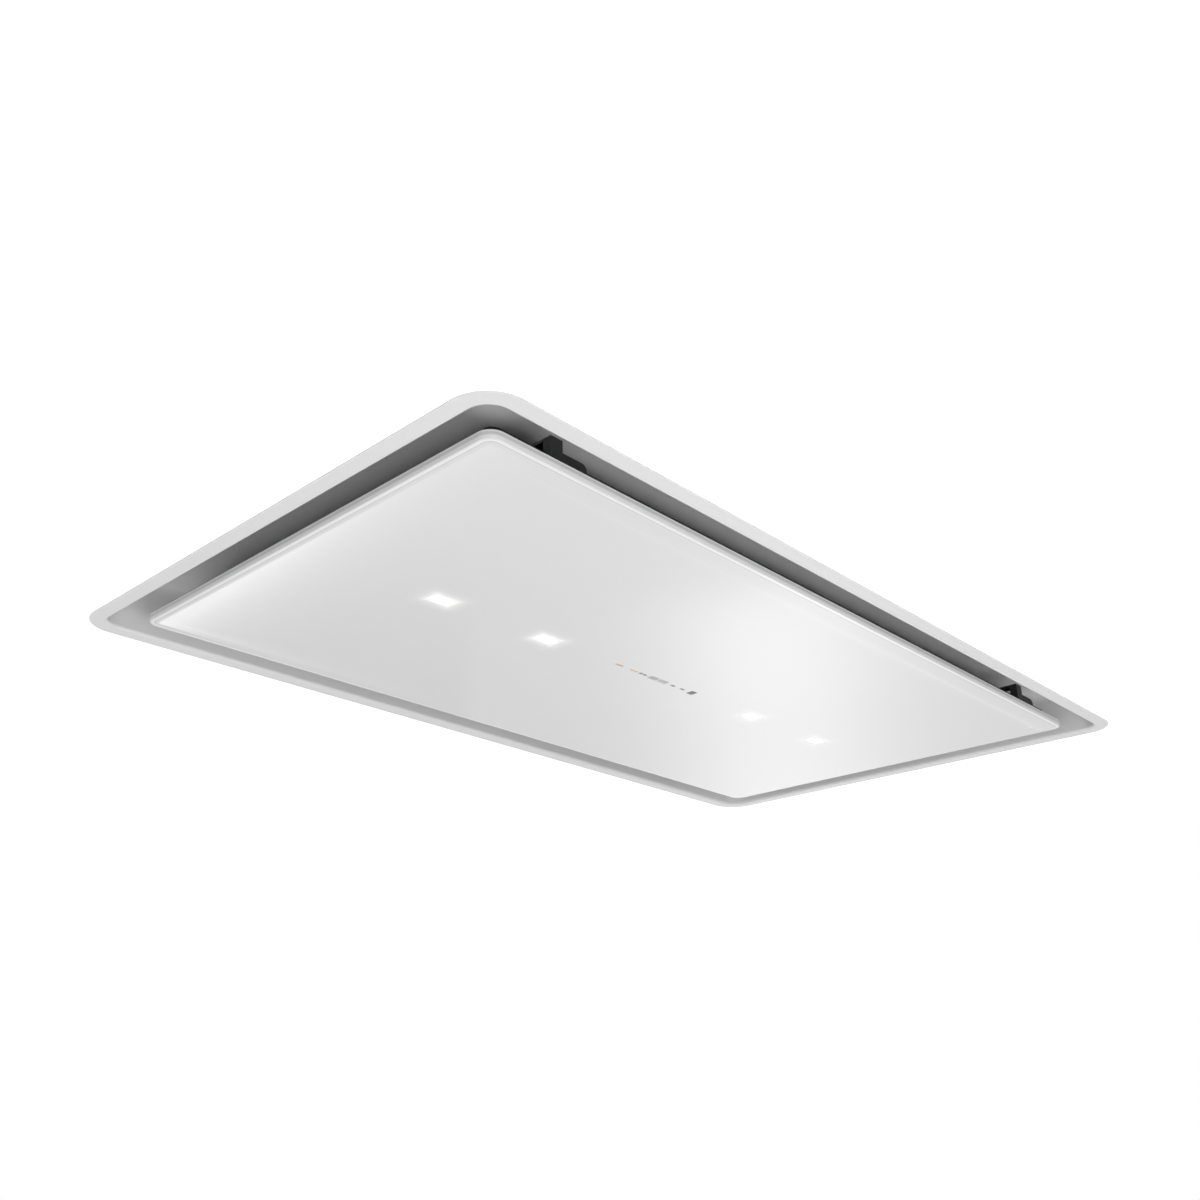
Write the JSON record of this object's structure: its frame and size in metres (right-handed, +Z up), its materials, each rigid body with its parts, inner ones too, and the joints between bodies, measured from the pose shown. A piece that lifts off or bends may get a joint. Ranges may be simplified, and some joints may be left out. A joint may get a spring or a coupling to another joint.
{
  "type": "ceiling range hood",
  "caption": "Flush ceiling hood: a hinged white glass panel with lamps and touch controls hangs in a flanged tray, air is drawn in around it through grease filters to a centrifugal blower.",
  "frame": {"origin": "centre of the ceiling cut-out, on the room face of the ceiling where the flange's upper face rests", "axes": "+X along the hood towards the duct outlet, +Y across it towards the panel's hinges, +Z up into the ceiling void"},
  "size_m": [0.9, 0.5, 0.299],
  "materials": {
    "white_paint": "white powder coat, satin",
    "galvanised_steel": "galvanised sheet, dull spangle",
    "zinc_plated": "bright zinc plate",
    "black_paint": "black e-coat, satin",
    "white_glass": "toughened glass with a white backing, polished",
    "frosted_lens": "frosted acrylic, lit",
    "circuit_board": "green solder mask",
    "dark_plastic": "moulded, fine grain",
    "grey_plastic": "moulded, fine grain",
    "white_plastic": "moulded, satin",
    "heat_sink": "die cast, bead blasted",
    "filter_aluminium": "rolled and folded, satin",
    "filter_mat": "expanded aluminium foil",
    "rubber": "moulded rubber",
    "core_steel": "stacked laminations",
    "copper_wire": "enamelled copper wire",
    "bright_steel": "ground steel",
    "magnet_nickel": "nickel plate"
  },
  "bodies": {
    "chassis": {"frame_tray": "white_paint", "casing_wrap": "galvanised_steel", "casing_rail_near": "galvanised_steel", "casing_rail_far": "galvanised_steel", "end_plate_left": "galvanised_steel", "end_plate_right": "galvanised_steel", "suspension_brackets": "zinc_plated", "casing_screws": "zinc_plated", "scroll_lower": "galvanised_steel", "scroll_upper": "galvanised_steel", "inlet_ring_lower": "grey_plastic", "inlet_ring_upper": "grey_plastic", "inlet_guard": "zinc_plated", "rubber_mounts": "rubber", "motor_bearings": "bright_steel", "motor_tube": "heat_sink", "motor_stator": "core_steel", "motor_windings": "copper_wire", "motor_spider": "zinc_plated", "outlet_duct": "galvanised_steel", "duct_spigot": "dark_plastic", "flap_pin": "bright_steel", "control_box": "galvanised_steel", "control_box_lid": "galvanised_steel", "control_board": "circuit_board", "led_driver": "white_plastic", "run_capacitor": "white_plastic", "terminal_block": "white_plastic", "cable_gland": "dark_plastic", "hinge_brackets": "zinc_plated", "hinge_pins": "bright_steel", "magnet_housings": "dark_plastic", "catch_magnets": "magnet_nickel", "filter_left_frame": "filter_aluminium", "filter_left_mesh": "filter_mat", "filter_left_spring": "bright_steel", "filter_right_frame": "filter_aluminium", "filter_right_mesh": "filter_mat", "filter_right_spring": "bright_steel"},
    "panel": {"glass_panel": "white_glass", "panel_carrier": "black_paint", "lamp_lenses": "frosted_lens", "led_boards": "white_plastic", "lamp_housings": "heat_sink", "touch_board": "circuit_board", "touch_cover": "dark_plastic", "hinge_arms": "black_paint", "catch_brackets": "black_paint"},
    "fan": {"impeller": "galvanised_steel", "motor_rotor": "heat_sink", "motor_shaft": "bright_steel"},
    "near_flap": {"flap_near": "dark_plastic"},
    "far_flap": {"flap_far": "dark_plastic"},
    "left_latch": {"filter_left_latch": "dark_plastic"},
    "right_latch": {"filter_right_latch": "dark_plastic"}
  },
  "joints": [
    {"name": "panel_hinge", "type": "hinge", "parent": "chassis", "child": "panel", "pos_m": [0, 0.196, 0.025], "axis": [1, 0, 0], "range_deg": [0, 90]},
    {"name": "fan_spin", "type": "hinge", "parent": "chassis", "child": "fan", "pos_m": [-0.07, -0.07, 0.2095], "axis": [0, 0, 1], "continuous": true},
    {"name": "near_flap_hinge", "type": "hinge", "parent": "chassis", "child": "near_flap", "pos_m": [0.39, 0.0295, 0.2095], "axis": [0, 0, 1], "range_deg": [0, 75], "stiffness_Nm_per_rad": 0.02},
    {"name": "far_flap_hinge", "type": "hinge", "parent": "chassis", "child": "far_flap", "pos_m": [0.39, 0.0295, 0.2095], "axis": [0, 0, -1], "range_deg": [0, 75], "stiffness_Nm_per_rad": 0.02},
    {"name": "left_latch_slide", "type": "slide", "parent": "chassis", "child": "left_latch", "axis": [0, 1, 0], "range_m": [0, 0.008], "stiffness_N_per_m": 400, "deforming": ["filter_left_spring"]},
    {"name": "right_latch_slide", "type": "slide", "parent": "chassis", "child": "right_latch", "axis": [0, 1, 0], "range_m": [0, 0.008], "stiffness_N_per_m": 400, "deforming": ["filter_right_spring"]}
  ]
}
